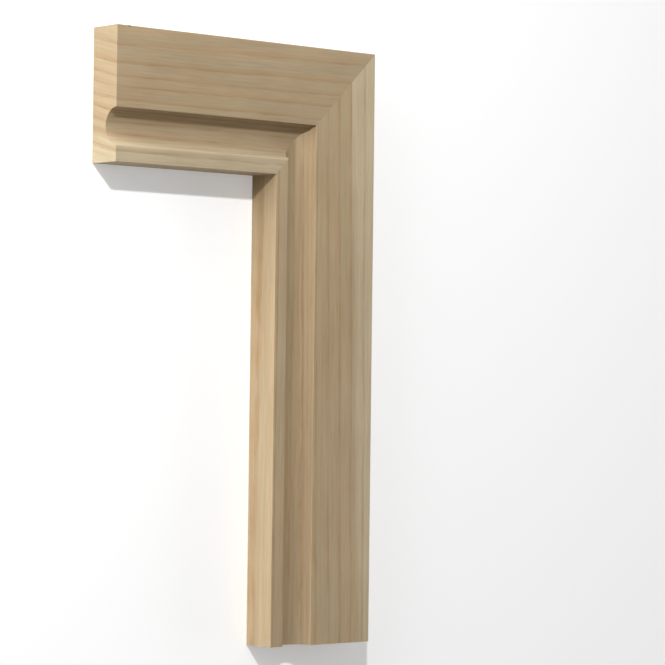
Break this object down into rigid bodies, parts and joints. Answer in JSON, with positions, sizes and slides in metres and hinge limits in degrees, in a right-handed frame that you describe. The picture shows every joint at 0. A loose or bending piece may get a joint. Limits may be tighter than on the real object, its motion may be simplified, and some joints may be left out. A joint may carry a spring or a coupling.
{
  "type": "architrave moulding",
  "caption": "Timber architrave corner: a leg and a head of one moulding, mitred where they meet, with a flat face, a half-round flute and a narrow lip, to trim the edge of a door opening.",
  "frame": {"origin": "centre of the corner's footprint, on the flat back that it lies on", "axes": "+X from the head's sawn end to the leg's outer edge, +Y from the leg's foot to the head, +Z out of the moulded face"},
  "size_m": [0.177, 0.322, 0.02],
  "materials": {
    "timber": "matte"
  },
  "bodies": {
    "root": {"architrave_leg": "timber", "architrave_head": "timber"}
  },
  "joints": []
}
